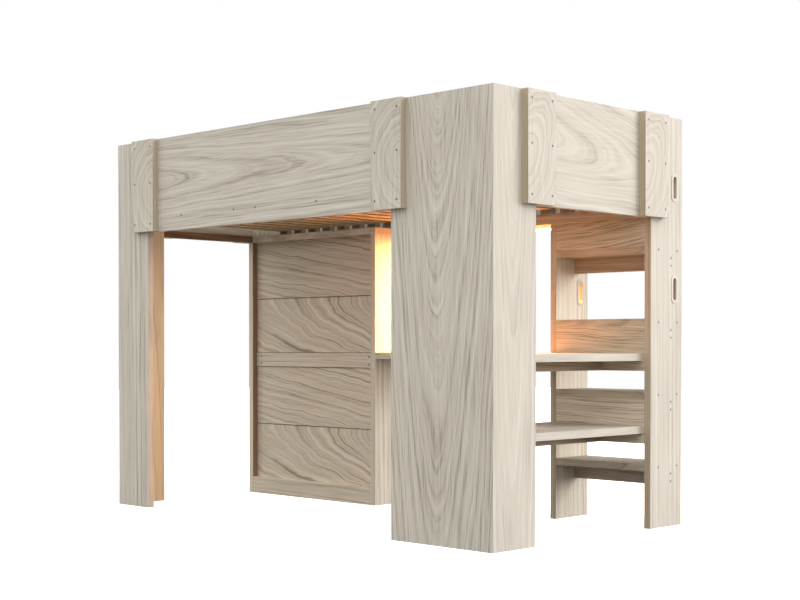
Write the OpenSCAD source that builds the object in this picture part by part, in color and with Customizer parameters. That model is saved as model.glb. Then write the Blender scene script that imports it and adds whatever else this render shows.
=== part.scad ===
// Cabin bed with a ladder tower, a desk and a wardrobe under the bed base.
// Origin: middle of the floor area that the bed covers. +X runs along the bed to the
// ladder end, +Y runs from the closed guard rail to the desk side, +Z is up.

/* [Overall] */
// Length over the end boards
frame_l = 2075; // [1950:5:2300]
// Depth from the front boards to the back of the desk
frame_d = 1070; // [1030:5:1200]
// Height of the legs and guard rails
frame_h = 1505; // [1450:5:1650]
// Thickness of the boards
board_t = 27; // [22:1:30]

/* [Legs] */
// Width of the corner board, the tower and the ladder
tower_w = 461; // [400:1:520]
// Width of the boards that turn the corner onto the bed ends
corner_w = 215; // [160:1:260]
// Width of the left leg at the front
left_leg_w = 208; // [150:1:260]

/* [Rails] */
// Height of the guard rails
rail_h = 374; // [330:2:400]
// Width of the cleats over the rail joints
cleat_w = 146; // [130:1:190]
// Distance of the cleat screws from the joint
cleat_screw_x = 53; // [40:1:60]
// Distance of the outer cleat screws from the top and bottom edges
cleat_screw_z = 30; // [20:1:50]
// Height of the middle cleat screws below the top edge
cleat_screw_mid = 178; // [120:1:220]

/* [Bed base] */
// Height of the slats' undersides above the bottom of the rails
slat_base_h = 57; // [50:1:70]
// Width of a slat
slat_w = 51; // [40:1:60]
// Thickness of a slat
slat_t = 15; // [12:1:20]
// Distance from one slat to the next
slat_pitch = 95.4; // [80:0.2:120]
// Height of the blocks under the slats' ends
support_h = 18; // [12:1:20]
// Depth of the blocks at the front batten
support_d = 30; // [20:1:40]

/* [Ladder] */
// Depth of the ladder boards
ladder_d = 198; // [180:1:230]
// Height of the lowest tread's top
first_tread_h = 235; // [200:1:260]
// Height from the top tread's top to the top of the strip under the slats
top_step_h = 128; // [110:1:150]
// Height of the rails under the treads
tread_rail_h = 57; // [40:1:70]
// Distance of the tread rails from the front of the ladder
tread_rail_y = 115; // [90:1:130]
// Distance of the near tread screws from the ladder's front edge
tread_screw_near = 49; // [40:1:60]
// Distance of the far tread screws from the ladder's back edge
tread_screw_far = 30; // [24:1:40]
// Length of a hand slot
slot_l = 88; // [70:1:100]
// Width of a hand slot
slot_w = 31; // [24:1:36]
// Width of the round-over at a hand slot's rim
slot_rim = 5; // [3:1:7]
// Distance of the hand slots from the front of the ladder
slot_y = 151; // [140:1:156]
// Distance of the lower hand slots' middle below the top tread
slot_drop = 129; // [115:1:160]
// Height of the upper hand slots' middle above the top of the strip under the slats
upper_slot_h = 90; // [75:1:140]

/* [Tower and desk] */
// Height of a tread's top above the shelf in front of it
shelf_drop = 127; // [100:1:140]
// Height of the bearers under the tower shelves
bearer_h = 37; // [30:1:50]
// Gap between the tower shelves and the end boards
shelf_gap = 8; // [2:1:15]

/* [Wardrobe] */
// Width of the wardrobe
wardrobe_w = 818; // [700:1:900]
// Depth of the wardrobe and the desk
wardrobe_d = 362; // [320:1:400]
// Height of the plinth
plinth_h = 72; // [60:1:100]
// Depth of the panel's planks behind the wardrobe's front edges
plank_setback = 27; // [20:1:35]
// Thickness of the planks
plank_t = 18; // [12:1:20]
// Height of the rail across the middle of the panel
mid_rail_h = 64; // [50:1:80]
// Height of the lower edge of that rail
mid_rail_z = 571; // [540:1:620]
// Distance that this rail stands proud of the planks
mid_rail_proud = 4; // [1:1:6]
// Height of the seam below the middle rail
low_seam_z = 313; // [260:1:360]
// Height of the seam above the middle rail
high_seam_z = 876; // [820:1:930]
// Height of the shadow gap at a seam
seam_w = 2; // [1:0.5:4]
// Depth of the shadow gap at a seam
seam_depth = 6; // [3:1:10]
// Width of the uprights that the panel is screwed to
upright_w = 60; // [50:1:80]
// Distance of that rail's screws from the wardrobe's sides
panel_screw_x = 33; // [24:1:44]

/* [Light] */
// Width of the light
light_w = 18; // [14:1:26]
// Height of the light
light_h = 10; // [8:1:14]
// Thickness of the profile that holds the diffuser
profile_t = 2; // [1:0.5:3]
// Distance of the light from the front edge of the ledge
light_y = 117; // [80:1:140]
// Gap between the light's ends and the wardrobe and ladder
light_gap = 20; // [10:1:40]

/* [Fixings] */
// Diameter of the screw heads
head_d = 9; // [8:0.5:10]
// Diameter of the screw shanks
shank_d = 4.5; // [4:0.5:5]
// Wood left in front of a screw's tip
tip_cover = 5; // [3:1:8]
// Diameter of the dowels
dowel_d = 8; // [6:1:10]
// Length of the dowels
dowel_l = 34; // [26:1:40]

/* [Hidden] */
$fn = 32;
CREAM = [0.87, 0.83, 0.77];
GREY = [0.74, 0.71, 0.65];
BEECH = [0.80, 0.74, 0.64];
EDGE = [0.66, 0.60, 0.50];

// Outer faces of the frame
left_x = -frame_l / 2;
right_x = frame_l / 2;
front_y = (board_t - frame_d) / 2;
back_y = front_y + frame_d;

// Inner faces of the end boards and of the front boards
in_left_x = left_x + board_t;
in_right_x = right_x - board_t;
in_front_y = front_y + board_t;

// Faces that neighbouring pieces meet
tower_x = right_x - tower_w;
leg_x = left_x + left_leg_w;
ladder_y = back_y - ladder_d;
ladder_in_x = tower_x + board_t;
side_y = front_y + corner_w;
wardrobe_y = back_y - wardrobe_d;
desk_x = left_x + wardrobe_w;
ward_in_x = desk_x - board_t;

// Heights
base_z = frame_h - rail_h;
deck_z = base_z + board_t;
slat_z = base_z + slat_base_h;
slat_top = slat_z + slat_t;
strip_y = ladder_y - board_t;

// Treads, and the tread whose shelf is level with the desk
tread_n = 4;
desk_tread = 3;
tread_pitch = (deck_z - top_step_h - first_tread_h) / (tread_n - 1);
desk_z = tread_top(desk_tread) - shelf_drop;
shelf_low_z = tread_top(desk_tread - 1) - shelf_drop;

function tread_top(n) = first_tread_h + (n - 1) * tread_pitch;
function tread_bottom(n) = tread_top(n) - board_t;

// Slats
slat_room = in_right_x - in_left_x;
slat_n = floor((slat_room - slat_w) / slat_pitch) + 1;
slat_x0 = (in_left_x + in_right_x - (slat_n - 1) * slat_pitch) / 2;
slat_y0 = in_front_y + board_t;
block_z = slat_z - support_h;

// Wardrobe panel
plank_y = wardrobe_y + plank_setback;
plank_back_y = plank_y + plank_t;
ward_shelf_z = mid_rail_z + mid_rail_h - board_t;

// Light under the ledge
light_x0 = desk_x + light_gap;
light_x1 = tower_x - light_gap;
light_mid_y = ladder_y + light_y;

// Hand slots
slot_low_z = tread_bottom(tread_n) - slot_drop;
slot_high_z = deck_z + upper_slot_h;

// Distance of the dowels from the edges of the boards that they join
dowel_in = 45;
// Distances of the front slat batten's screws from the right end
batten_screw_x = [842, 1183, 1311, 1643];
// Places of a pair of fixings in a height, as shares of it
pair = [0.25, 0.75];
// Length by which a cut runs past a face
over = 1;

// ---------- helpers ----------

// A board between two opposite corners
module board(low, high) {
  translate(low)
    cube(high - low);
}

// A countersunk screw that points down from its head at the origin
module screw(through) {
  length = through + board_t - tip_cover;
  sink = (head_d - shank_d) / 2;
  rotate_extrude()
    polygon([
      [0, 0],
      [head_d / 2, 0],
      [shank_d / 2, -sink],
      [shank_d / 2, shank_d - length],
      [0, -length]
    ]);
}

// Screws driven backwards (+Y), to the left (-X) and to the right (+X)
module screws_back(points, through = board_t) {
  for (p = points)
    translate(p)
      rotate([90, 0, 0])
        screw(through);
}

module screws_left(points, through = board_t) {
  for (p = points)
    translate(p)
      rotate([0, 90, 0])
        screw(through);
}

module screws_right(points, through = board_t) {
  for (p = points)
    translate(p)
      rotate([0, -90, 0])
        screw(through);
}

// Dowels along X, Y and Z, centred on the joint
module dowels_x(points) {
  for (p = points)
    translate(p)
      rotate([0, 90, 0])
        cylinder(d = dowel_d, h = dowel_l, center = true);
}

module dowels_y(points) {
  for (p = points)
    translate(p)
      rotate([90, 0, 0])
        cylinder(d = dowel_d, h = dowel_l, center = true);
}

module dowels_z(points) {
  for (p = points)
    translate(p)
      cylinder(d = dowel_d, h = dowel_l, center = true);
}

// ---------- places of the fixings ----------

// Six screws in a cleat: two columns at the joint u, three rows
cleat_rows = [frame_h - cleat_screw_z, frame_h - cleat_screw_mid, base_z + cleat_screw_z];

function front_cleat_screws(x) = [
  for (side = [-1, 1], z = cleat_rows) [x + side * cleat_screw_x, front_y - board_t, z]
];

function end_cleat_screws(x, y) = [
  for (side = [-1, 1], z = cleat_rows) [x, y + side * cleat_screw_x, z]
];

// Screws through a ladder board into a tread and into the rail under it
tread_screws_yz = [
  for (n = [1 : tread_n]) each [
    [ladder_y + tread_screw_near, tread_bottom(n) + board_t / 2],
    [back_y - tread_screw_far, tread_bottom(n) + board_t / 2],
    [ladder_y + tread_rail_y + board_t / 2, tread_bottom(n) - tread_rail_h * pair[0]],
    [ladder_y + tread_rail_y + board_t / 2, tread_bottom(n) - tread_rail_h * pair[1]]
  ]
];
tread_screws_outer = [for (p = tread_screws_yz) [right_x, p[0], p[1]]];
tread_screws_inner = [for (p = tread_screws_yz) [tower_x, p[0], p[1]]];

batten_screws_front = [for (d = batten_screw_x) [right_x - d, front_y, slat_z]];
panel_screws = [
  for (x = [in_left_x + panel_screw_x, ward_in_x - panel_screw_x], part = pair)
    [x, plank_y - mid_rail_proud, mid_rail_z + part * mid_rail_h]
];

// Heights at which the back guard is held, and depths at which shelves and tops are held
guard_dowel_z = [deck_z + dowel_in, frame_h - dowel_in];
ward_dowel_y = [plank_back_y + dowel_in, back_y - dowel_in];
desk_dowel_y = [wardrobe_y + dowel_in, back_y - 2 * dowel_in];
ledge_dowel_y = [ladder_y + dowel_in, back_y - dowel_in];
shelf_dowel_x = [tower_x + 2 * dowel_in, in_right_x - 2 * dowel_in];
bearer_x = (tower_x + right_x) / 2;

guard_dowels_left = [for (z = guard_dowel_z) [in_left_x, ladder_y + board_t / 2, z]];
guard_dowels_right = [for (z = guard_dowel_z) [tower_x, ladder_y + board_t / 2, z]];
ledge_dowels_left = [for (y = ledge_dowel_y) [desk_x, y, base_z + board_t / 2]];
ledge_dowels_right = [for (y = ledge_dowel_y) [tower_x, y, base_z + board_t / 2]];
desk_dowels_left = [for (y = desk_dowel_y) [desk_x, y, desk_z - board_t / 2]];
desk_dowels_right = [for (y = ledge_dowel_y) [tower_x, y, desk_z - board_t / 2]];
desk_dowel_shelf = [[tower_x, ladder_y - dowel_in, desk_z - board_t / 2]];
floor_dowels = [for (x = [in_left_x, ward_in_x], y = ward_dowel_y) [x, y, plinth_h + board_t / 2]];
ward_shelf_dowels = [
  for (x = [in_left_x, ward_in_x], y = ward_dowel_y) [x, y, ward_shelf_z + board_t / 2]
];
plinth_dowels = [
  for (x = [in_left_x, ward_in_x]) [x, wardrobe_y + board_t / 2, plinth_h / 2]
];
top_dowels_left = [for (y = ward_dowel_y) [in_left_x, y, base_z + board_t / 2]];
top_dowels_right = [for (y = desk_dowel_y) [desk_x - board_t / 2, y, base_z]];
strip_dowels_ledge = [
  for (x = [desk_x + 2 * dowel_in, tower_x - 2 * dowel_in]) [x, ladder_y, base_z + board_t / 2]
];
strip_dowel_inner = [[tower_x + board_t / 2, ladder_y, base_z + board_t / 2]];
strip_dowel_outer = [[in_right_x, strip_y + board_t / 2, base_z + board_t / 2]];

function shelf_dowels(top, y) = [for (x = shelf_dowel_x) [x, y, top - board_t / 2]];
function bearer_dowels(top, y) = [[bearer_x, y, top - board_t - bearer_h / 2]];
function closing_dowels(x, n) = [
  for (part = pair) [x, ladder_y + board_t / 2, tread_bottom(n) - part * closing_h]
];
closing_h = shelf_drop + bearer_h;
closing_4_z = tread_top(tread_n);
closing_4_dowel_z = [for (part = pair) closing_4_z + part * (base_z - closing_4_z)];
closing_4_dowels_inner = [for (z = closing_4_dowel_z) [ladder_in_x, ladder_y + board_t / 2, z]];
closing_4_dowels_outer = [for (z = closing_4_dowel_z) [in_right_x, ladder_y + board_t / 2, z]];

// ---------- legs ----------

// Two boards mitred at a corner: the outline of the front one
module mitred_front(corner_x, end_x) {
  toward = end_x > corner_x ? board_t : -board_t;
  linear_extrude(frame_h)
    polygon([
      [corner_x, front_y],
      [end_x, front_y],
      [end_x, in_front_y],
      [corner_x + toward, in_front_y]
    ]);
}

module mitred_side(corner_x, inner_x) {
  linear_extrude(frame_h)
    polygon([
      [corner_x, front_y],
      [inner_x, in_front_y],
      [inner_x, side_y],
      [corner_x, side_y]
    ]);
}

module corner_front_board() {
  color(GREY)
    difference() {
      mitred_front(right_x, tower_x);
      screws_back(front_cleat_screws(tower_x));
      for (top = [shelf_low_z, desk_z]) {
        dowels_y(shelf_dowels(top, in_front_y));
        dowels_y(bearer_dowels(top, in_front_y));
      }
    }
}

module corner_side_board() {
  color(CREAM)
    difference() {
      mitred_side(right_x, in_right_x);
      screws_left(end_cleat_screws(right_x + board_t, side_y));
    }
}

module left_leg_front_board() {
  color(GREY)
    difference() {
      mitred_front(left_x, leg_x);
      screws_back(front_cleat_screws(leg_x));
    }
}

module left_leg_side_board() {
  color(CREAM)
    difference() {
      mitred_side(left_x, in_left_x);
      screws_right(end_cleat_screws(left_x - board_t, side_y));
    }
}

// ---------- ladder ----------

// A stadium-shaped hand slot through a board whose middle plane is at x, with flared rims
module hand_slot(x, z) {
  reach = (slot_l - slot_w) / 2;
  translate([x, ladder_y + slot_y, z]) {
    for (up = [-reach, reach])
      translate([0, 0, up])
        rotate([0, 90, 0])
          cylinder(d = slot_w, h = board_t + 2 * over, center = true);
    cube([board_t + 2 * over, slot_w, 2 * reach], center = true);
    for (side = [0, 180])
      rotate([0, 0, side])
        slot_rim_cut(reach);
  }
}

// The flare on one face: a cone at each end of the slot and a wedge along each side
module slot_rim_cut(reach) {
  inner = board_t / 2 - slot_rim;
  for (up = [-reach, reach])
    translate([inner, 0, up])
      rotate([0, 90, 0])
        cylinder(r1 = slot_w / 2, r2 = slot_w / 2 + slot_rim, h = slot_rim);
  translate([0, 0, -reach])
    linear_extrude(2 * reach)
      polygon([
        [inner, -slot_w / 2],
        [board_t / 2, -slot_w / 2 - slot_rim],
        [board_t / 2, slot_w / 2 + slot_rim],
        [inner, slot_w / 2]
      ]);
}

module ladder_outer_board() {
  color(CREAM)
    difference() {
      board([in_right_x, ladder_y, 0], [right_x, back_y, frame_h]);
      for (z = [slot_low_z, slot_high_z])
        hand_slot(right_x - board_t / 2, z);
      screws_left(tread_screws_outer);
      screws_left(end_cleat_screws(right_x + board_t, ladder_y));
      for (n = [2, 3])
        dowels_x(closing_dowels(in_right_x, n));
      dowels_x(closing_4_dowels_outer);
    }
}

module ladder_inner_board() {
  color(CREAM)
    difference() {
      board([tower_x, ladder_y, 0], [ladder_in_x, back_y, frame_h]);
      for (z = [slot_low_z, slot_high_z])
        hand_slot(tower_x + board_t / 2, z);
      screws_right(tread_screws_inner);
      for (n = [2, 3])
        dowels_x(closing_dowels(ladder_in_x, n));
      dowels_x(closing_4_dowels_inner);
      dowels_x(guard_dowels_right);
      dowels_x(ledge_dowels_right);
      dowels_x(desk_dowels_right);
      dowels_y(strip_dowel_inner);
    }
}

module ladder_tread(n) {
  color(CREAM)
    difference() {
      board([ladder_in_x, ladder_y, tread_bottom(n)],
            [in_right_x, back_y, tread_bottom(n) + board_t]);
      screws_left(tread_screws_outer);
      screws_right(tread_screws_inner);
    }
}

module tread_rail(n) {
  near = ladder_y + tread_rail_y;
  color(EDGE)
    difference() {
      board([ladder_in_x, near, tread_bottom(n) - tread_rail_h],
            [in_right_x, near + board_t, tread_bottom(n)]);
      screws_left(tread_screws_outer);
      screws_right(tread_screws_inner);
    }
}

module closing_board(n, shelf_top) {
  color(GREY)
    difference() {
      board([ladder_in_x, ladder_y, tread_bottom(n) - closing_h],
            [in_right_x, ladder_y + board_t, tread_bottom(n)]);
      dowels_x(closing_dowels(ladder_in_x, n));
      dowels_x(closing_dowels(in_right_x, n));
      dowels_y(shelf_dowels(shelf_top, ladder_y));
      dowels_y(bearer_dowels(shelf_top, ladder_y));
    }
}

// The board above the top tread, up to the slats, with the strip in front of it
module closing_board_4() {
  color(GREY)
    difference() {
      board([ladder_in_x, ladder_y, closing_4_z], [in_right_x, ladder_y + board_t, slat_top]);
      dowels_x(closing_4_dowels_inner);
      dowels_x(closing_4_dowels_outer);
    }
}

// ---------- guard rails and cleats ----------

module front_guard_rail() {
  color(GREY)
    difference() {
      board([leg_x, front_y, base_z], [tower_x, in_front_y, frame_h]);
      screws_back(front_cleat_screws(tower_x));
      screws_back(front_cleat_screws(leg_x));
      screws_back(batten_screws_front);
    }
}

module right_guard_rail() {
  color(CREAM)
    difference() {
      board([in_right_x, side_y, base_z], [right_x, ladder_y, frame_h]);
      screws_left(end_cleat_screws(right_x + board_t, side_y));
      screws_left(end_cleat_screws(right_x + board_t, ladder_y));
      dowels_x(strip_dowel_outer);
    }
}

module left_guard_rail() {
  color(CREAM)
    difference() {
      board([left_x, side_y, base_z], [in_left_x, wardrobe_y, frame_h]);
      screws_right(end_cleat_screws(left_x - board_t, side_y));
      screws_right(end_cleat_screws(left_x - board_t, wardrobe_y));
    }
}

module back_guard_board() {
  color(GREY)
    difference() {
      board([in_left_x, ladder_y, deck_z], [tower_x, ladder_y + board_t, frame_h]);
      dowels_x(guard_dowels_left);
      dowels_x(guard_dowels_right);
    }
}

module front_cleat(x) {
  color(EDGE)
    difference() {
      board([x - cleat_w / 2, front_y - board_t, base_z], [x + cleat_w / 2, front_y, frame_h]);
      screws_back(front_cleat_screws(x));
    }
}

module right_cleat(y) {
  color(EDGE)
    difference() {
      board([right_x, y - cleat_w / 2, base_z], [right_x + board_t, y + cleat_w / 2, frame_h]);
      screws_left(end_cleat_screws(right_x + board_t, y));
    }
}

module left_cleat(y) {
  color(EDGE)
    difference() {
      board([left_x - board_t, y - cleat_w / 2, base_z], [left_x, y + cleat_w / 2, frame_h]);
      screws_right(end_cleat_screws(left_x - board_t, y));
    }
}

// ---------- bed base ----------

module front_slat_batten() {
  color(BEECH)
    difference() {
      board([in_left_x, in_front_y, deck_z], [in_right_x, slat_y0, slat_top]);
      screws_back(batten_screws_front);
    }
}

// The low batten that the blocks at the back stand on
module back_slat_batten() {
  color(BEECH)
    board([in_left_x, strip_y, deck_z], [in_right_x, ladder_y, block_z]);
}

// The strip under the back batten, from the wardrobe's top to the right guard rail
module base_strip() {
  color(EDGE)
    difference() {
      board([desk_x, strip_y, base_z], [in_right_x, ladder_y, deck_z]);
      dowels_y(strip_dowels_ledge);
      dowels_y(strip_dowel_inner);
      dowels_x(strip_dowel_outer);
    }
}

module slats() {
  color(BEECH)
    for (n = [0 : slat_n - 1])
      translate([slat_x0 + n * slat_pitch - slat_w / 2, slat_y0, slat_z])
        cube([slat_w, ladder_y - slat_y0, slat_t]);
}

// A block under each end of each slat: at the front on the batten's inner face, at the back
// on the low batten
module slat_supports() {
  color("silver")
    for (n = [0 : slat_n - 1])
      translate([slat_x0 + n * slat_pitch - slat_w / 2, 0, block_z]) {
        translate([0, slat_y0, 0])
          cube([slat_w, support_d, support_h]);
        translate([0, strip_y, 0])
          cube([slat_w, board_t, support_h]);
      }
}

// ---------- wardrobe ----------

module wardrobe_left_side() {
  color(CREAM)
    difference() {
      board([left_x, wardrobe_y, 0], [in_left_x, back_y, frame_h]);
      screws_right(end_cleat_screws(left_x - board_t, wardrobe_y));
      dowels_x(floor_dowels);
      dowels_x(ward_shelf_dowels);
      dowels_x(plinth_dowels);
      dowels_x(top_dowels_left);
      dowels_x(guard_dowels_left);
    }
}

module wardrobe_right_side() {
  color(CREAM)
    difference() {
      board([ward_in_x, wardrobe_y, 0], [desk_x, back_y, base_z]);
      dowels_x(floor_dowels);
      dowels_x(ward_shelf_dowels);
      dowels_x(plinth_dowels);
      dowels_x(desk_dowels_left);
      dowels_z(top_dowels_right);
    }
}

module wardrobe_top() {
  color(CREAM)
    difference() {
      board([in_left_x, wardrobe_y, base_z], [desk_x, back_y, deck_z]);
      dowels_x(top_dowels_left);
      dowels_z(top_dowels_right);
      dowels_x(ledge_dowels_left);
    }
}

module wardrobe_floor() {
  color(CREAM)
    difference() {
      board([in_left_x, plank_back_y, plinth_h], [ward_in_x, back_y, plinth_h + board_t]);
      dowels_x(floor_dowels);
    }
}

module wardrobe_shelf() {
  color(CREAM)
    difference() {
      board([in_left_x, plank_back_y + board_t, ward_shelf_z],
            [ward_in_x, back_y, ward_shelf_z + board_t]);
      dowels_x(ward_shelf_dowels);
    }
}

module wardrobe_plinth() {
  color(GREY)
    difference() {
      board([in_left_x, wardrobe_y, 0], [ward_in_x, wardrobe_y + board_t, plinth_h]);
      dowels_x(plinth_dowels);
    }
}

// One plank of the wardrobe's panel
module wardrobe_plank(low_z, high_z) {
  color(GREY)
    board([in_left_x, plank_y, low_z], [ward_in_x, plank_back_y, high_z]);
}

// A plank whose front edge is cut back where the next plank stands on it
module wardrobe_seam_plank(low_z, high_z) {
  color(GREY)
    difference() {
      wardrobe_plank(low_z, high_z);
      board([in_left_x - over, plank_y - over, high_z - seam_w],
            [ward_in_x + over, plank_y + seam_depth, high_z + over]);
    }
}

module wardrobe_mid_rail() {
  color(GREY)
    difference() {
      board([in_left_x, plank_y - mid_rail_proud, mid_rail_z],
            [ward_in_x, plank_back_y, mid_rail_z + mid_rail_h]);
      screws_back(panel_screws, plank_t + mid_rail_proud);
    }
}

// An upright behind the panel's end
module wardrobe_upright(x) {
  color(CREAM)
    difference() {
      board([x, plank_back_y, plinth_h + board_t], [x + upright_w, plank_back_y + board_t, base_z]);
      screws_back(panel_screws, plank_t + mid_rail_proud);
    }
}

// ---------- desk, ledge and light ----------

module desk_top() {
  color(CREAM)
    difference() {
      board([desk_x, wardrobe_y, desk_z - board_t], [tower_x, back_y, desk_z]);
      dowels_x(desk_dowels_left);
      dowels_x(desk_dowels_right);
      dowels_x(desk_dowel_shelf);
    }
}

module ledge_board() {
  color(CREAM)
    difference() {
      board([desk_x, ladder_y, base_z], [tower_x, back_y, deck_z]);
      dowels_x(ledge_dowels_left);
      dowels_x(ledge_dowels_right);
      dowels_y(strip_dowels_ledge);
    }
}

// The flat profile under the ledge, and the diffuser that is clipped below it
module light_profile() {
  color("silver")
    board([light_x0, light_mid_y - light_w / 2, base_z - profile_t],
          [light_x1, light_mid_y + light_w / 2, base_z]);
}

module light_diffuser() {
  color("white")
    board([light_x0, light_mid_y - light_w / 2, base_z - light_h],
          [light_x1, light_mid_y + light_w / 2, base_z - profile_t]);
}

// ---------- tower ----------

module tower_shelf(top) {
  color(CREAM)
    difference() {
      board([tower_x, in_front_y, top - board_t], [in_right_x - shelf_gap, ladder_y, top]);
      dowels_y(shelf_dowels(top, in_front_y));
      dowels_y(shelf_dowels(top, ladder_y));
      if (top == desk_z)
        dowels_x(desk_dowel_shelf);
    }
}

module shelf_bearer(top) {
  color(EDGE)
    difference() {
      board([bearer_x - board_t / 2, in_front_y, top - board_t - bearer_h],
            [bearer_x + board_t / 2, ladder_y, top - board_t]);
      dowels_y(bearer_dowels(top, in_front_y));
      dowels_y(bearer_dowels(top, ladder_y));
    }
}

// ---------- fixings ----------

module all_screws() {
  color("dimgray") {
    for (x = [tower_x, leg_x])
      screws_back(front_cleat_screws(x));
    for (y = [side_y, ladder_y])
      screws_left(end_cleat_screws(right_x + board_t, y));
    for (y = [side_y, wardrobe_y])
      screws_right(end_cleat_screws(left_x - board_t, y));
    screws_left(tread_screws_outer);
    screws_right(tread_screws_inner);
    screws_back(batten_screws_front);
    screws_back(panel_screws, plank_t + mid_rail_proud);
  }
}

module all_dowels() {
  color(BEECH) {
    dowels_x(guard_dowels_left);
    dowels_x(guard_dowels_right);
    dowels_x(ledge_dowels_left);
    dowels_x(ledge_dowels_right);
    dowels_x(desk_dowels_left);
    dowels_x(desk_dowels_right);
    dowels_x(desk_dowel_shelf);
    dowels_x(floor_dowels);
    dowels_x(ward_shelf_dowels);
    dowels_x(plinth_dowels);
    dowels_x(top_dowels_left);
    dowels_z(top_dowels_right);
    dowels_y(strip_dowels_ledge);
    dowels_y(strip_dowel_inner);
    dowels_x(strip_dowel_outer);
    for (n = [2, 3]) {
      dowels_x(closing_dowels(ladder_in_x, n));
      dowels_x(closing_dowels(in_right_x, n));
    }
    dowels_x(closing_4_dowels_inner);
    dowels_x(closing_4_dowels_outer);
    for (top = [shelf_low_z, desk_z], y = [in_front_y, ladder_y]) {
      dowels_y(shelf_dowels(top, y));
      dowels_y(bearer_dowels(top, y));
    }
  }
}

// ---------- the assembly ----------

corner_front_board();
corner_side_board();
left_leg_front_board();
left_leg_side_board();
ladder_outer_board();
ladder_inner_board();
front_guard_rail();
right_guard_rail();
left_guard_rail();
back_guard_board();
front_cleat(tower_x);  // front_right_cleat
front_cleat(leg_x);  // front_left_cleat
right_cleat(side_y);  // right_near_cleat
right_cleat(ladder_y);  // right_far_cleat
left_cleat(side_y);  // left_near_cleat
left_cleat(wardrobe_y);  // left_far_cleat
front_slat_batten();
back_slat_batten();
base_strip();
slats();
slat_supports();
wardrobe_left_side();
wardrobe_right_side();
wardrobe_top();
wardrobe_floor();
wardrobe_shelf();
wardrobe_plinth();
wardrobe_seam_plank(plinth_h - board_t, low_seam_z);  // wardrobe_plank_1
wardrobe_plank(low_seam_z, mid_rail_z);  // wardrobe_plank_2
wardrobe_mid_rail();
wardrobe_seam_plank(mid_rail_z + mid_rail_h, high_seam_z);  // wardrobe_plank_3
wardrobe_plank(high_seam_z, base_z);  // wardrobe_plank_4
wardrobe_upright(in_left_x);  // wardrobe_left_upright
wardrobe_upright(ward_in_x - upright_w);  // wardrobe_right_upright
desk_top();
ledge_board();
light_profile();
light_diffuser();
tower_shelf(shelf_low_z);  // tower_shelf_lower
tower_shelf(desk_z);  // tower_shelf_upper
shelf_bearer(shelf_low_z);  // shelf_bearer_lower
shelf_bearer(desk_z);  // shelf_bearer_upper
ladder_tread(1);  // ladder_tread_1
ladder_tread(2);  // ladder_tread_2
ladder_tread(3);  // ladder_tread_3
ladder_tread(4);  // ladder_tread_4
tread_rail(1);  // tread_rail_1
tread_rail(2);  // tread_rail_2
tread_rail(3);  // tread_rail_3
tread_rail(4);  // tread_rail_4
closing_board(2, shelf_low_z);  // closing_board_2
closing_board(3, desk_z);  // closing_board_3
closing_board_4();
all_screws();  // screws
all_dowels();  // dowels
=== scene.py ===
import math
from dataclasses import dataclass
from functools import partial

import bmesh
import bpy
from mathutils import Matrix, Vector


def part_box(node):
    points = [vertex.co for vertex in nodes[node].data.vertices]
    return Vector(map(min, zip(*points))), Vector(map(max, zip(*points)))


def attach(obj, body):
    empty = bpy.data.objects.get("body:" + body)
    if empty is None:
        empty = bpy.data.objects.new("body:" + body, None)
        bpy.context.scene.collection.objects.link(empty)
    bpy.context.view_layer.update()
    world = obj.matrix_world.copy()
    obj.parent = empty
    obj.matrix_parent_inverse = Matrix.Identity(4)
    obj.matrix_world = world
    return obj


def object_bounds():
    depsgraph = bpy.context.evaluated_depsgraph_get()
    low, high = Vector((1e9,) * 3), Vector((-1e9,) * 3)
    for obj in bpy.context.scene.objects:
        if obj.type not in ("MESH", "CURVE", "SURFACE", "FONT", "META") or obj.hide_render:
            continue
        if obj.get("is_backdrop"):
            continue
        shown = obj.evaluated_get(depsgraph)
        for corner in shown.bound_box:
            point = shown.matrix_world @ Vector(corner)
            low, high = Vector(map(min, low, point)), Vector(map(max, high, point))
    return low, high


# The pieces of the bed are CAD nodes, which get their materials here, but for the rims of the hand
# slots, which are made here. So are the floor, the lamps and the camera.
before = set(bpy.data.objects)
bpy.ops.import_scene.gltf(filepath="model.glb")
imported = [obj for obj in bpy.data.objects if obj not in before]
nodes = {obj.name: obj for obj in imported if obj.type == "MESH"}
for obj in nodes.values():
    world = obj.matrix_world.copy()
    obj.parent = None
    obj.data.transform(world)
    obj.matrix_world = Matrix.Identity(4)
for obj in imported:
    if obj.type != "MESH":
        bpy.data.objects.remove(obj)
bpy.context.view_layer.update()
MM = 0.001

# ---------------------------------------------------------------- camera

# Fitted to the bed's right angles in the photo
CAMERA_PLACE = Vector((4.0706, -4.0381, 0.6676))
CAMERA_AZIMUTH = math.radians(44.744)
CAMERA_ELEVATION = math.radians(0.836)
CAMERA_SETTINGS = {"sensor_width": 36.0, "lens": 65.18, "shift_x": 0.009, "shift_y": 0.083,
                   "clip_end": 60.0}


def new_object(name, data):
    """An object in the scene that holds the data."""
    thing = bpy.data.objects.new(name, data)
    bpy.context.scene.collection.objects.link(thing)
    return thing


def aim(thing, place, direction):
    """Puts a camera or lamp at a place and turns it to look along a direction."""
    thing.location = place
    thing.rotation_mode = "QUATERNION"
    thing.rotation_quaternion = direction.to_track_quat("-Z", "Y")


def make_camera():
    data = bpy.data.cameras.new("camera")
    for setting, value in CAMERA_SETTINGS.items():
        setattr(data, setting, value)
    camera = new_object("camera", data)
    level = math.cos(CAMERA_ELEVATION)
    back = Vector((math.sin(CAMERA_AZIMUTH) * level,
                   -math.cos(CAMERA_AZIMUTH) * level,
                   math.sin(CAMERA_ELEVATION)))
    aim(camera, CAMERA_PLACE, -back)
    bpy.context.scene.camera = camera


make_camera()

# ---------------------------------------------------------------- colours and nodes


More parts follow.
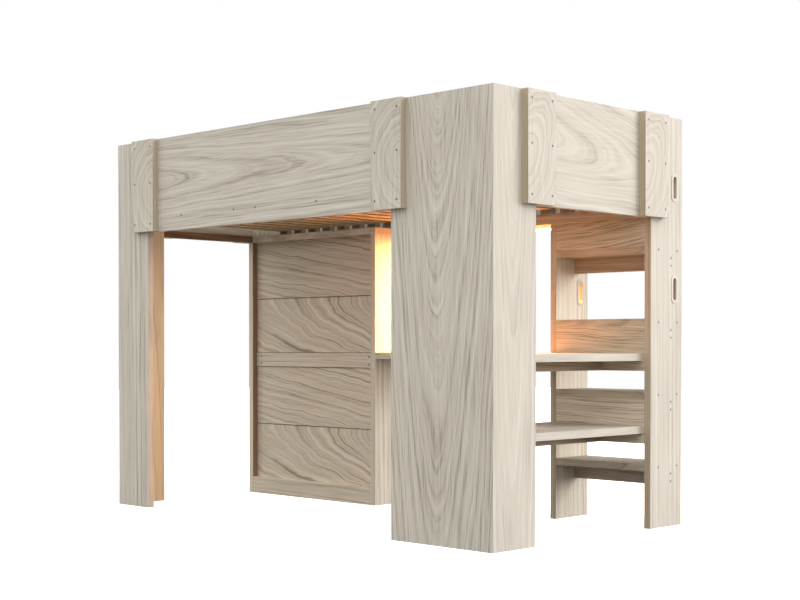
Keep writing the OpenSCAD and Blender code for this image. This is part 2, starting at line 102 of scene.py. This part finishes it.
def linear(hex_colour):
    """An sRGB hex colour as the linear RGBA that a shader takes."""
    out = []
    for i in (0, 2, 4):
        c = int(hex_colour[i:i + 2], 16) / 255
        out.append(c / 12.92 if c <= 0.04045 else ((c + 0.055) / 1.055) ** 2.4)
    return (*out, 1.0)


def add(tree, kind, inputs=(), stops=(), **options):
    """Adds a node with its options, and a colour ramp's stops as (place, sRGB hex).

    The inputs feed its sockets in order, or by name or number from a dict. Each is a value or
    another node's output, and a node stands for its first output.
    """
    node = tree.nodes.new("ShaderNode" + kind)
    for option, value in options.items():
        setattr(node, option, value)
    for socket, value in inputs.items() if isinstance(inputs, dict) else enumerate(inputs):
        if isinstance(value, bpy.types.Node):
            value = value.outputs[0]
        if isinstance(value, bpy.types.NodeSocket):
            tree.links.new(value, node.inputs[socket])
        else:
            node.inputs[socket].default_value = value
    for i, (place, colour) in enumerate(stops):
        elements = node.color_ramp.elements
        element = elements[i] if i < len(elements) else elements.new(place)
        element.position = place
        element.color = linear(colour)
    return node


def new_material(name):
    """An empty material, and the function that adds nodes to it."""
    material = bpy.data.materials.new(name)
    material.use_nodes = True
    material.node_tree.nodes.clear()
    return material, partial(add, material.node_tree)


# ---------------------------------------------------------------- wood

# Washed grey-beige elm veneer under a matt lacquer: growth rings, cut at a low angle, draw long
# nested arches, with short dark pores along the grain. Colours run from dark to light.
OUTER_WOOD = ("8c8374", "b6afa2", "c8c2b5")
INNER_WOOD = ("8f826e", "beb29f", "d0c5b2")
PALE_WOOD = ("988d79", "cac1af", "dad3c3")
# Painted light: a lighter, warmer copy for the left leg's side board, for the strip's warm light
LEG_SIDE_WOOD = ("a0957a", "d6cbae", "e4dbc2")
# Painted light: a lighter copy for the ladder's inner board, to offset the shade cast on it
LADDER_INNER_WOOD = ("998f7e", "c9c0ae", "dad1c0")
# Painted light: browner for the upper closing boards in the strip's warm light, lighter for the
# lowest
CLOSING_WOOD = ("87775f", "b9aa93", "ccbea8")
LOW_CLOSING_WOOD = ("92836c", "c5b7a1", "d8cbb6")
# Painted light: browner for the top tread under the strip's warm light, greyer for the treads
# below
TREAD_WOOD = ("7e6b55", "a8937b", "bca78f")
LOW_TREAD_WOOD = ("7d715f", "a89b87", "beb19d")
BEARER_WOOD = ("7c6954", "a68f77", "b9a389")
# The slats' warm beech tone, partly darkened as painted shade for the dim underside of the bed
SLAT_WOOD = ("957c5d", "c6a983", "d6ba93")
# Darker wood for patches of a face: a plain darker strip, and painted shade for a recess
DARK_STRIP_WOOD = ("5a4735", "755e47", "88725a")
# Painted shade, for the wardrobe's sides where the recess in front of the planks lies in shadow
RECESS_SHADE_WOOD = ("68543f", "886f56", "9b8369")
# Sawn edges, and the painted shade in the joint between two boards
SAWN_EDGE = ("9f8c74", "c0b39b")
FRONT_EDGE = ("b5a994", "d2c7b2")
# Painted shade: the slats' sides, darkened for the shade in the narrow gaps between them
SLAT_SIDE_SHADE = ("6b543c", "8c7252")
JOINT_SHADE = "5e4f40"

# Where the colours lie between dark and light
TONE_PLACES = (0.05, 0.45, 0.85)
EDGE_PLACES = (0.3, 0.7)

# The patterns in the wood. Each has the size of its blotches along the grain, across it and
# through the board, in mm, then its distance from the board's seed, its detail and its roughness.
# Real streaks, fibres and saw marks are finer: these are as coarse as they need to show.
PATTERNS = {"wander": ((430, 120, 120), 0.0, 2.0, 0.5),
            "ripple": ((200, 16, 16), 3.0, 2.0, 0.5),
            "breaks": ((260, 14, 14), 5.0, 2.0, 0.5),
            "streaks": ((620, 8, 8), 7.0, 3.0, 0.62),
            "fibres": ((170, 4.5, 4.5), 9.0, 2.0, 0.6),
            "saw marks": ((900, 6, 6), 13.0, 2.0, 0.6),
            "clouds": ((330, 90, 90), 17.0, 2.0, 0.5)}
# How far the rings wander across the board and in width, as shares of their sway, and how far
# their edges ripple, as a share of their width
WANDER = (4.0, 3.0, 0.0)
RIPPLE = 0.35
# Late wood is a thin dark line: noise along the rings' radius, of which a gain and an offset leave
# the peaks. Another pair breaks the lines up.
LATE_PER_RING = 2.3
LATE_PEAKS = (6.0, -3.35)
BREAK_PEAKS = (3.0, -0.8)
# How much each layer lightens the wood, or darkens it where negative, and the light where all of
# them are at their mean
LATE_GAIN, RING_GAIN, STREAK_GAIN, FIBRE_GAIN, CLOUD_GAIN = -0.26, 1.1, 0.85, 0.85, 0.35
MEAN_LIGHT = 0.55
NOISE_MEAN = 0.5
# The lacquer's roughness: how much it changes from dark wood to light, and what it starts from
LACQUER_ROUGHNESS = (-0.12, 0.74)
GRAIN_STRENGTH, GRAIN_DEPTH = 0.12, 0.4 * MM

AXES = {"x": 0, "y": 1, "z": 2}
# A face is taken to look along an axis where this much of its normal does
FACING = 0.5
# The sockets of a Mix node for colours, by number, because it has others of the same names
MIX_SHARE, MIX_FIRST, MIX_SECOND, MIX_RESULT = 0, 6, 7, 2


@dataclass
class Figure:
    """How the grain of a board runs. Lengths are in mm.

    The rings are parabolas, nested round a middle line that starts at the heart. arch is the
    square of a ring's half width over the distance from its tip. The tips point along the board's
    axis where arch is positive, and back where it is negative.
    """
    heart: tuple = (0.0, 0.5)  # place along and across the board, as shares
    arch: float = 8.0
    point: float = 0.0         # makes the tips sharp
    bend: float = 0.0          # closes the rings to ovals round the heart, a circle at 1
    tilt: float = 0.0          # slope of the middle line
    ring: float = 16.0         # width of the rings
    sway: float = 14.0         # how far the rings wander
    run: float = 1.0           # stretches their wandering along the grain
    seed: float = 0.0          # picks the part of the patterns that the board shows
    contrast: float = 1.0      # of the rings, streaks and fibres
    straight: float = 1.0      # share of the fibres that run straight


def pattern(put, kind, space, figure, run=1.0):
    """One of the patterns in the wood, stretched along the grain by run."""
    (length, width, depth), shift, detail, roughness = PATTERNS[kind]
    scaled = put("VectorMath", (space, (1 / (length * run), 1 / width, 1 / depth)),
                 operation="MULTIPLY")
    return put("TexNoise", {"Vector": scaled, "W": figure.seed + shift, "Scale": 1.0,
                            "Detail": detail, "Roughness": roughness}, noise_dimensions="4D")


def ring_radius(put, local, figure):
    """The radius of the ring at each point, in mm, with its wandering and ripples."""
    x, y, z = put("SeparateXYZ", [local]).outputs
    wander = pattern(put, "wander", local, figure, figure.run).outputs["Color"]
    reach = [share * figure.sway for share in WANDER]
    wander = put("VectorMath", (wander, reach, [-part * NOISE_MEAN for part in reach]),
                 operation="MULTIPLY_ADD")
    aside, wider, _ = put("SeparateXYZ", [wander]).outputs

    # Distance from the middle line, or from the heart where the rings close
    aside = put("Math", (x, figure.tilt, aside), operation="MULTIPLY_ADD")
    aside = put("Math", (y, aside), operation="ADD")
    bent_x = put("Math", (x, figure.bend), operation="MULTIPLY")
    radius = put("VectorMath", [put("CombineXYZ", (bent_x, aside, z))],
                 operation="LENGTH").outputs["Value"]
    radius = put("Math", (radius, figure.point), operation="ADD")

    # The square grows steadily along the board, which makes the parabolas
    square = put("Math", (radius, radius), operation="MULTIPLY")
    square = put("Math", (x, figure.arch, square), operation="MULTIPLY_ADD")
    square = put("Math", (square, 0.0), operation="MAXIMUM")
    radius = put("Math", [square], operation="SQRT")

    ripple = pattern(put, "ripple", local, figure, figure.run)
    wider = put("Math", (ripple, RIPPLE * figure.ring, wider), operation="MULTIPLY_ADD")
    return put("Math", (radius, wider), operation="ADD")


def wood_light(put, local, figure):
    """How light the wood is at each point, from 0 to 1."""
    radius = ring_radius(put, local, figure)
    x, _, z = put("SeparateXYZ", [local]).outputs
    bent = put("CombineXYZ", (x, radius, z))

    # Rings of uneven width and strength, and the broken dark lines where each one ends
    count = put("Math", (radius, figure.ring), operation="DIVIDE")
    rings = put("TexNoise", {"W": count, "Scale": 1.0, "Detail": 4.0, "Roughness": 0.6},
                noise_dimensions="1D")
    late = put("TexNoise", {"W": count, "Scale": LATE_PER_RING, "Detail": 1.0, "Roughness": 0.5},
               noise_dimensions="1D")
    late = put("Math", (late, *LATE_PEAKS), operation="MULTIPLY_ADD", use_clamp=True)
    broken = put("Math", (pattern(put, "breaks", bent, figure), *BREAK_PEAKS),
                 operation="MULTIPLY_ADD", use_clamp=True)
    late = put("Math", (late, broken), operation="MULTIPLY")

    # Streaks follow the rings, and only the finest fibres run straight
    streaks = pattern(put, "streaks", bent, figure)
    fibres = pattern(put, "fibres", local, figure)
    clouds = pattern(put, "clouds", local, figure)
    layers = ((late, LATE_GAIN * figure.contrast, 0.0),
              (rings, RING_GAIN * figure.contrast, NOISE_MEAN),
              (streaks, STREAK_GAIN * figure.contrast, NOISE_MEAN),
              (fibres, FIBRE_GAIN * figure.contrast * figure.straight, NOISE_MEAN),
              (clouds, CLOUD_GAIN, NOISE_MEAN))
    light = MEAN_LIGHT - sum(gain * mean for _, gain, mean in layers)
    for layer, gain, _ in layers:
        light = put("Math", (layer, gain, light), operation="MULTIPLY_ADD")
    light.use_clamp = True
    return light


def wood(name, box, along, across, figure, tones=OUTER_WOOD, edge=None, bare=None, seam=0.0):
    """Wood for the board in a box. along and across are the axes of its grain and its width.

    tones are its colours, and edge those of its sawn edges, which on the slats are painted shade.
    The dark patch is a darker part of a face: its side, 1 or -1, its colours, and how far up each
    axis it reaches, in mm, which on the wardrobe's sides is painted shade. seam is the height in
    mm of the dark line along the board's lower edge, painted shade of the joint, as wide as it
    needs to show.
    """
    material, put = new_material(name)
    low, high = box
    through = ({"x", "y", "z"} - {along, across}).pop()
    order = [AXES[axis] for axis in (along, across, through)]
    middle = [low[axis] + share * (high[axis] - low[axis])
              for axis, share in zip(order, (*figure.heart, 0.5))]

    # Millimetres from the heart along, across and through the board
    place = put("SeparateXYZ", [put("TexCoord").outputs["Object"]]).outputs
    local = put("VectorMath", (put("CombineXYZ", [place[axis] for axis in order]),
                               [1 / MM] * 3, [-part / MM for part in middle]),
                operation="MULTIPLY_ADD")
    light = wood_light(put, local, figure)

    # What lies over the wood's colour: where it is, and its own colour
    patches = []
    normal = put("SeparateXYZ", [put("NewGeometry").outputs["Normal"]]).outputs[order[2]]
    # A darker patch, which on the wardrobe's sides is painted shade
    if bare:
        side, bare_tones, reach = bare
        where = put("Math", (put("Math", (normal, side), operation="MULTIPLY"), FACING),
                    operation="GREATER_THAN")
        for axis, end in reach.items():
            within = put("Math", (place[AXES[axis]], end * MM), operation="LESS_THAN")
            where = put("Math", (where, within), operation="MULTIPLY")
        patches.append((where, put("ValToRGB", [light], stops=zip(TONE_PLACES, bare_tones))))
    if edge:
        where = put("Math", (put("Math", [normal], operation="ABSOLUTE"), FACING),
                    operation="LESS_THAN")
        marks = pattern(put, "saw marks", local, figure)
        patches.append((where, put("ValToRGB", [marks], stops=zip(EDGE_PLACES, edge))))
    # Painted shade: a dark line along the lower edge, for the joint between two boards in shadow
    if seam:
        lower_edge = (low[order[1]] - middle[1]) / MM
        y = put("SeparateXYZ", [local]).outputs["Y"]
        where = put("Math", (y, lower_edge + seam), operation="LESS_THAN")
        patches.append((where, linear(JOINT_SHADE)))

    colour = put("ValToRGB", [light], stops=zip(TONE_PLACES, tones))
    for where, patch in patches:
        colour = put("Mix", {MIX_SHARE: where, MIX_FIRST: colour, MIX_SECOND: patch},
                     data_type="RGBA").outputs[MIX_RESULT]
    bump = put("Bump", {"Height": light, "Strength": GRAIN_STRENGTH, "Distance": GRAIN_DEPTH})
    shine = put("Math", (light, *LACQUER_ROUGHNESS), operation="MULTIPLY_ADD")
    shader = put("BsdfPrincipled", {"Base Color": colour, "Roughness": shine, "Normal": bump,
                                    "IOR": 1.45, "Specular IOR Level": 0.2})
    put("OutputMaterial", [shader])
    return material


def cover(node, material):
    """Gives a CAD node its material."""
    mesh = nodes[node].data
    mesh.materials.clear()
    mesh.materials.append(material)


def wood_board(node, along, across, figure, **finish):
    cover(node, wood("elm_veneer_" + node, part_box(node), along, across, figure, **finish))


# Legs and tower: nested arches that point down along the tall board's middle
wood_board("corner_front_board", "z", "x",
           Figure(heart=(1.0, 0.47), arch=-42, point=36, ring=10, sway=9, seed=1.3, contrast=0.9,
                  straight=1.5, run=1.6))
wood_board("corner_side_board", "z", "y",
           Figure(heart=(1.0, 0.45), arch=-8, point=14, ring=11, sway=8, seed=2.1, contrast=0.62,
                  straight=1.3, run=1.6))
wood_board("left_leg_front_board", "z", "x",
           Figure(heart=(0.0, -0.4), arch=5, ring=15, sway=7, seed=3.7, run=1.6))
# The side board's lighter, warmer tones are painted light
wood_board("left_leg_side_board", "z", "y",
           Figure(heart=(0.0, 0.4), arch=10, ring=15, sway=9, seed=4.9, run=1.6),
           tones=LEG_SIDE_WOOD)

# Ladder
wood_board("ladder_outer_board", "z", "y",
           Figure(heart=(0.0, -0.3), arch=4, ring=14, sway=7, seed=5.3, contrast=0.75, run=1.8),
           edge=SAWN_EDGE)
# The inner board's lighter tones are painted light
wood_board("ladder_inner_board", "z", "y",
           Figure(heart=(0.0, -0.3), arch=4, ring=14, sway=7, seed=6.1, contrast=0.9, run=1.8),
           tones=LADDER_INNER_WOOD, edge=SAWN_EDGE)
# The lower treads and rails get the greyer copy: painted light, as the strip lights only the top
for count, tones in ((1, LOW_TREAD_WOOD), (2, LOW_TREAD_WOOD), (3, LOW_TREAD_WOOD),
                     (4, TREAD_WOOD)):
    wood_board("ladder_tread_%d" % count, "x", "y",
               Figure(heart=(0.0, 0.3), arch=5, ring=9, sway=7, seed=7.0 + count), tones=tones)
    wood_board("tread_rail_%d" % count, "x", "z",
               Figure(heart=(0.0, -0.6), arch=4, ring=9, sway=6, seed=12.0 + count), tones=tones)
# The lowest closing board gets the lighter copy: painted light, as the strip lights only the top
for count, tilt, tones in ((2, 0.02, LOW_CLOSING_WOOD), (3, 0.05, CLOSING_WOOD),
                           (4, -0.12, CLOSING_WOOD)):
    wood_board("closing_board_%d" % count, "x", "z",
               Figure(heart=(0.0, -0.7), arch=0, tilt=tilt, ring=7, sway=10, seed=17.0 + count,
                      contrast=1.2, straight=1.5), tones=tones)

# Guard rails: one nest of arches at the left that opens to the right. The left rail is
# darker in a strip along the foot of its inner face.
rail_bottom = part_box("left_guard_rail")[0].z / MM
DARK_STRIP_HEIGHT = 30
wood_board("front_guard_rail", "x", "z",
           Figure(heart=(0.0, 0.55), arch=8, ring=15, sway=9, seed=21.4, run=1.5))
wood_board("right_guard_rail", "y", "z",
           Figure(heart=(0.0, 0.66), arch=26, tilt=0.13, ring=16, sway=10, seed=22.9,
                  contrast=0.68))
wood_board("left_guard_rail", "y", "z",
           Figure(heart=(0.0, 0.66), arch=26, tilt=0.13, ring=16, sway=10, seed=23.5),
           bare=(1, DARK_STRIP_WOOD, {"z": rail_bottom + DARK_STRIP_HEIGHT}))
wood_board("back_guard_board", "x", "z",
           Figure(heart=(1.0, 0.45), arch=-10, ring=16, sway=12, seed=24.2, run=1.5))

# Cleats: swirled figure, cut from near a branch, and darker sawn edges
for node in ("front_right_cleat", "front_left_cleat"):
    wood_board(node, "z", "x",
               Figure(heart=(0.42, 1.0), arch=0, bend=0.75, ring=15, sway=15, seed=31.2, run=0.5),
               edge=SAWN_EDGE)
for node in ("right_near_cleat", "right_far_cleat", "left_near_cleat", "left_far_cleat"):
    wood_board(node, "z", "y",
               Figure(heart=(0.40, 0.0), arch=0, bend=0.6, tilt=-0.3, ring=14, sway=19, seed=33.8,
                      run=0.5, contrast=0.75), edge=SAWN_EDGE)

# Bed base
for node, seed in (("front_slat_batten", 41.0), ("back_slat_batten", 42.0), ("base_strip", 43.0)):
    wood_board(node, "x", "z", Figure(heart=(0.0, -0.8), arch=3, ring=9, sway=7, seed=seed),
               tones=TREAD_WOOD)
# The slats' tones are partly painted shade, and their darker sides are painted shade
wood_board("slats", "y", "x", Figure(arch=3, ring=14, sway=12, seed=44.0), tones=SLAT_WOOD,
           edge=SLAT_SIDE_SHADE)

# Wardrobe: painted shade darkens the inner faces of its sides in front of the planks, up to the
# rails
plank_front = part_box("wardrobe_plank_1")[0].y / MM
for node, seed, inward in (("wardrobe_left_side", 51.0, 1), ("wardrobe_right_side", 52.5, -1)):
    wood_board(node, "z", "y",
               Figure(heart=(0.0, -0.4), arch=5, ring=14, sway=9, seed=seed, run=1.6,
                      contrast=0.75), tones=PALE_WOOD, edge=FRONT_EDGE,
               bare=(inward, RECESS_SHADE_WOOD, {"y": plank_front, "z": rail_bottom}))
for node, seed in (("wardrobe_top", 53.0), ("wardrobe_floor", 54.0), ("wardrobe_shelf", 55.0)):
    wood_board(node, "x", "y", Figure(arch=10, ring=16, sway=12, seed=seed), tones=INNER_WOOD)
# Height of the painted shade along the joints under the planks and the rail. The upper and the
# lower pair of planks come from the same two sheets of veneer.
SEAM = 2.2
for node in ("wardrobe_plank_4", "wardrobe_plank_2"):
    wood_board(node, "x", "z",
               Figure(heart=(0.0, 2.4), arch=-60, tilt=0.10, ring=17, sway=11, seed=56.3,
                      contrast=1.2, straight=0.6, run=0.6), tones=INNER_WOOD, seam=SEAM)
for node in ("wardrobe_plank_3", "wardrobe_plank_1"):
    wood_board(node, "x", "z",
               Figure(heart=(1.0, 1.05), arch=-120, ring=15, sway=15, seed=58.1, contrast=1.45,
                      straight=0.25, run=0.55), tones=INNER_WOOD, seam=SEAM)
for node, seed, seam in (("wardrobe_mid_rail", 60.0, SEAM), ("wardrobe_plinth", 61.0, 0.0)):
    wood_board(node, "x", "z",
               Figure(heart=(0.0, -0.8), arch=3, ring=10, sway=5, seed=seed, run=1.5),
               tones=INNER_WOOD, seam=seam)
for node, seed in (("wardrobe_left_upright", 62.0), ("wardrobe_right_upright", 63.0)):
    wood_board(node, "z", "x", Figure(arch=4, ring=12, sway=8, seed=seed), tones=INNER_WOOD)

# Desk, ledge and tower shelves
for node, seed in (("desk_top", 71.0), ("ledge_board", 72.0)):
    wood_board(node, "x", "y", Figure(arch=8, ring=15, sway=10, seed=seed), tones=INNER_WOOD)
for node, seed in (("tower_shelf_lower", 73.0), ("tower_shelf_upper", 74.0)):
    wood_board(node, "y", "x",
               Figure(arch=5, ring=11, sway=7, seed=seed, contrast=0.65, run=1.6))
for node, seed in (("shelf_bearer_lower", 75.0), ("shelf_bearer_upper", 76.0)):
    wood_board(node, "y", "z", Figure(heart=(0.0, -0.8), arch=3, ring=12, sway=7, seed=seed),
               tones=BEARER_WOOD)
# The dowels share the slats' tones, which are partly painted shade
cover("dowels", wood("turned_beech_dowel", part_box("dowels"), "x", "z",
                     Figure(ring=8, sway=3, seed=80.0), tones=SLAT_WOOD))

# ---------------------------------------------------------------- metal and plastic

# Sizes of the screws' grit, the plastic's grain and the lines on the profile, all of them as
# coarse as they need to show
GRIT = 1.5 * MM
SPARK_GRAIN = 2.0 * MM
LINE_WIDTH, LINE_LENGTH = 0.8 * MM, 400 * MM
# Roughness of the metals: how much it changes with the grit or lines, and what it starts from
STEEL_ROUGHNESS = (0.3, 0.35)
ALUMINIUM_ROUGHNESS = (0.2, 0.25)
# How far apart the lights behind the diffuser sit, its glow, and how much that varies
LIGHT_PITCH = 16 * MM
GLOW, GLOW_SWING = 13.0, 1.2


def screw_metal():
    """Rolled steel screws, zinc plated and passivated to a matt grey that reads dark in wood."""
    material, put = new_material("zinc_plated_steel_passivated")
    place = put("TexCoord").outputs["Object"]
    grit = put("TexNoise", {"Vector": place, "Scale": 1 / GRIT, "Detail": 3.0})
    colour = put("ValToRGB", [grit], stops=zip(EDGE_PLACES, ("5a554d", "7a736a")))
    shine = put("Math", (grit, *STEEL_ROUGHNESS), operation="MULTIPLY_ADD")
    shader = put("BsdfPrincipled", {"Base Color": colour, "Roughness": shine, "IOR": 1.5,
                                    "Specular IOR Level": 0.3})
    put("OutputMaterial", [shader])
    return material


def moulded_plastic(name, dark, light):
    """Polypropylene or ABS, moulded matt with a fine spark-eroded grain."""
    material, put = new_material(name)
    place = put("TexCoord").outputs["Object"]
    grain = put("TexNoise", {"Vector": place, "Scale": 1 / SPARK_GRAIN, "Detail": 2.0})
    colour = put("ValToRGB", [grain], stops=zip(EDGE_PLACES, (dark, light)))
    bump = put("Bump", {"Height": grain, "Strength": 0.2, "Distance": 0.1 * MM})
    shader = put("BsdfPrincipled", {"Base Color": colour, "Normal": bump, "Roughness": 0.55,
                                    "IOR": 1.49, "Specular IOR Level": 0.3})
    put("OutputMaterial", [shader])
    return material


def extruded_aluminium():
    """Satin anodised aluminium profile, with faint lines along the way it was pressed out."""
    material, put = new_material("anodised_aluminium_extruded")
    place = put("TexCoord").outputs["Object"]
    scale = (1 / LINE_LENGTH, 1 / LINE_WIDTH, 1 / LINE_WIDTH)
    stretched = put("Mapping", {"Vector": place, "Scale": scale})
    lines = put("TexNoise", {"Vector": stretched, "Scale": 1.0, "Detail": 2.0})
    colour = put("ValToRGB", [lines], stops=zip(EDGE_PLACES, ("b4b5b8", "c9cacc")))
    shine = put("Math", (lines, *ALUMINIUM_ROUGHNESS), operation="MULTIPLY_ADD")
    shader = put("BsdfPrincipled", {"Base Color": colour, "Roughness": shine, "Metallic": 1.0})
    put("OutputMaterial", [shader])
    return material


def glowing_diffuser():
    """Opal polycarbonate cover over a warm white strip of lights, which show as faint spots."""
    material, put = new_material("opal_polycarbonate_lit")
    x = put("SeparateXYZ", [put("TexCoord").outputs["Object"]]).outputs["X"]
    wave = put("Math", (x, 2 * math.pi / LIGHT_PITCH), operation="MULTIPLY")
    wave = put("Math", [wave], operation="SINE")
    glow = put("Math", (wave, GLOW_SWING, GLOW), operation="MULTIPLY_ADD")
    shader = put("BsdfPrincipled", {"Base Color": linear("f5efe0"), "Roughness": 0.4, "IOR": 1.58,
                                    "Emission Color": linear("ffbe70"), "Emission Strength": glow})
    put("OutputMaterial", [shader])
    return material


cover("screws", screw_metal())
cover("slat_supports", moulded_plastic("polypropylene_moulded_grey", "6f6a62", "7d786f"))
cover("light_profile", extruded_aluminium())
cover("light_diffuser", glowing_diffuser())

# ---------------------------------------------------------------- rims of the hand slots

# Once round the rim's section, in mm: half width of the slot, and distance from the board's middle
RIM_SECTION = ((10.0, 10.5), (10.0, 14.9), (10.8, 15.6), (12.0, 15.8), (20.0, 15.8), (21.1, 15.4),
               (21.5, 14.5), (21.5, 13.52), (12.9, 13.52), (12.9, 10.5))
# How far the straight sides reach above and below the slot's middle, the steps in a round end,
# and how near two points are where they are merged
RIM_REACH = 31.0 * MM
RIM_STEPS = 18
WELD = 0.01 * MM
# Where the slots' middles are
SLOT_Y = 501.5 * MM
SLOT_HEIGHTS = {"lower": 874.0 * MM, "upper": 1248.0 * MM}


def sort_by_place(parts):
    """Sorts a mesh's points, edges or faces by place, because spin leaves them in any order."""
    def place(part):
        corners = getattr(part, "verts", [part])
        return [sum(corner.co[axis] for corner in corners) / len(corners) for axis in range(3)]

    ranks = {part: rank for rank, part in enumerate(sorted(parts, key=place))}
    parts.sort(key=ranks.get)


def slot_rim(name, board, height, material):
    """A rim on the right face of a hand slot, 2 mm proud, with a short collar in the slot."""
    low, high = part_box(board)
    middle = Vector(((low.x + high.x) / 2, SLOT_Y, height))
    shape = bmesh.new()
    ring = [shape.verts.new(middle + Vector((out * MM, width * MM, RIM_REACH)))
            for width, out in RIM_SECTION]
    loop = [shape.edges.new((one, other)) for one, other in zip(ring, ring[1:] + ring[:1])]
    # Round the top, down the near side, round the bottom and up again
    for side in (1, -1):
        turn = middle + Vector((0, 0, side * RIM_REACH))
        last = bmesh.ops.spin(shape, geom=loop, cent=turn, axis=(1, 0, 0), angle=math.pi,
                              steps=RIM_STEPS)["geom_last"]
        loop = [part for part in last if isinstance(part, bmesh.types.BMEdge)]
        grown = bmesh.ops.extrude_edge_only(shape, edges=loop)["geom"]
        ring = [part for part in grown if isinstance(part, bmesh.types.BMVert)]
        bmesh.ops.translate(shape, verts=ring, vec=(0, 0, -2 * side * RIM_REACH))
        loop = [edge for edge in shape.edges if edge.verts[0] in ring and edge.verts[1] in ring]
    bmesh.ops.remove_doubles(shape, verts=shape.verts, dist=WELD)
    bmesh.ops.recalc_face_normals(shape, faces=shape.faces)
    for parts in (shape.verts, shape.edges, shape.faces):
        sort_by_place(parts)
    mesh = bpy.data.meshes.new(name)
    shape.to_mesh(mesh)
    shape.free()
    mesh.materials.append(material)
    piece = new_object(name, mesh)
    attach(piece, "root")
    return piece


cream_plastic = moulded_plastic("abs_moulded_cream", "b8b1a4", "c2bbae")
for board in ("outer", "inner"):
    for place, height in SLOT_HEIGHTS.items():
        rim = slot_rim("hand_slot_rim_%s_%s" % (board, place), "ladder_%s_board" % board, height,
                       cream_plastic)

# ---------------------------------------------------------------- floor, light and background

# Half the floor's width, how far it lies below the bed's feet, and its glow for the camera
FLOOR_HALF_WIDTH = 14.0
FLOOR_DROP = 0.5 * MM
FLOOR_GLOW = 0.75
# The studio's light at eye level and overhead, and the heights between which it changes
LIGHT_LEVEL = {"To Min": 1.9, "To Max": 1.4, "From Min": 0.3, "From Max": 1.0}
# A large window far off at the right and behind the bed
WINDOW_PLACE = Vector((10.6, 9.1, 4.2))
WINDOW_AIM = Vector((0.6, 0.0, 0.7))
WINDOW = {"energy": 1620.0, "size": 9.0, "size_y": 9.0, "color": linear("fffafd")[:3]}
# The light that the diffuser throws down, and its distance below it
STRIP = {"energy": 50.0, "color": linear("ffaa5a")[:3]}
STRIP_DROP = 1.0 * MM


def seen_directly(put):
    """One where the camera sees a surface itself, in gloss or through glass, and nought else."""
    path = put("LightPath").outputs
    glossy = put("Math", (path["Is Glossy Ray"], path["Is Transmission Ray"]), operation="MAXIMUM")
    return put("Math", (path["Is Camera Ray"], glossy), operation="MAXIMUM")


def make_floor():
    """A plain pale floor that the camera sees as white, with the bed's shadow on it."""
    mesh = bpy.data.meshes.new("floor")
    shape = bmesh.new()
    bmesh.ops.create_grid(shape, x_segments=1, y_segments=1, size=FLOOR_HALF_WIDTH)
    bmesh.ops.translate(shape, verts=shape.verts, vec=(0, 0, -FLOOR_DROP))
    shape.to_mesh(mesh)
    shape.free()
    floor = new_object("floor", mesh)
    material, put = new_material("pale_painted_floor")
    lit = put("BsdfDiffuse", {"Color": linear("403f3e")})
    white = put("AddShader", (put("BsdfDiffuse", {"Color": linear("f2f1ef")}),
                              put("Emission", {"Strength": FLOOR_GLOW})))
    put("OutputMaterial", [put("MixShader", (seen_directly(put), lit, white))])
    mesh.materials.append(material)
    floor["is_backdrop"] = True


def make_world():
    """A round white studio: even at eye level, a little dimmer overhead."""
    world = bpy.data.worlds.new("studio")
    bpy.context.scene.world = world
    world.use_nodes = True
    world.node_tree.nodes.clear()
    put = partial(add, world.node_tree)
    up = put("SeparateXYZ", [put("TexCoord").outputs["Generated"]]).outputs["Z"]
    level = put("MapRange", {"Value": up, **LIGHT_LEVEL}, interpolation_type="SMOOTHSTEP")
    light = put("Background", {"Color": linear("ffffff"), "Strength": level})
    white = put("Background", {"Color": linear("ffffff"), "Strength": 1.0})
    put("OutputWorld", [put("MixShader", (seen_directly(put), light, white))])


def add_lamp(name, **settings):
    """A rectangular lamp, which looks straight down with its long side along x."""
    data = bpy.data.lights.new(name, "AREA")
    data.shape = "RECTANGLE"
    for setting, value in settings.items():
        setattr(data, setting, value)
    return new_object(name, data)


make_floor()
make_world()
aim(add_lamp("soft_window", **WINDOW), WINDOW_PLACE, WINDOW_AIM - WINDOW_PLACE)
low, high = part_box("light_diffuser")
strip = add_lamp("ledge_strip", size=high.x - low.x, size_y=high.y - low.y, **STRIP)
strip.location = ((low.x + high.x) / 2, (low.y + high.y) / 2, low.z - STRIP_DROP)

bpy.context.scene.view_settings.view_transform = "Standard"

low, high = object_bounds()
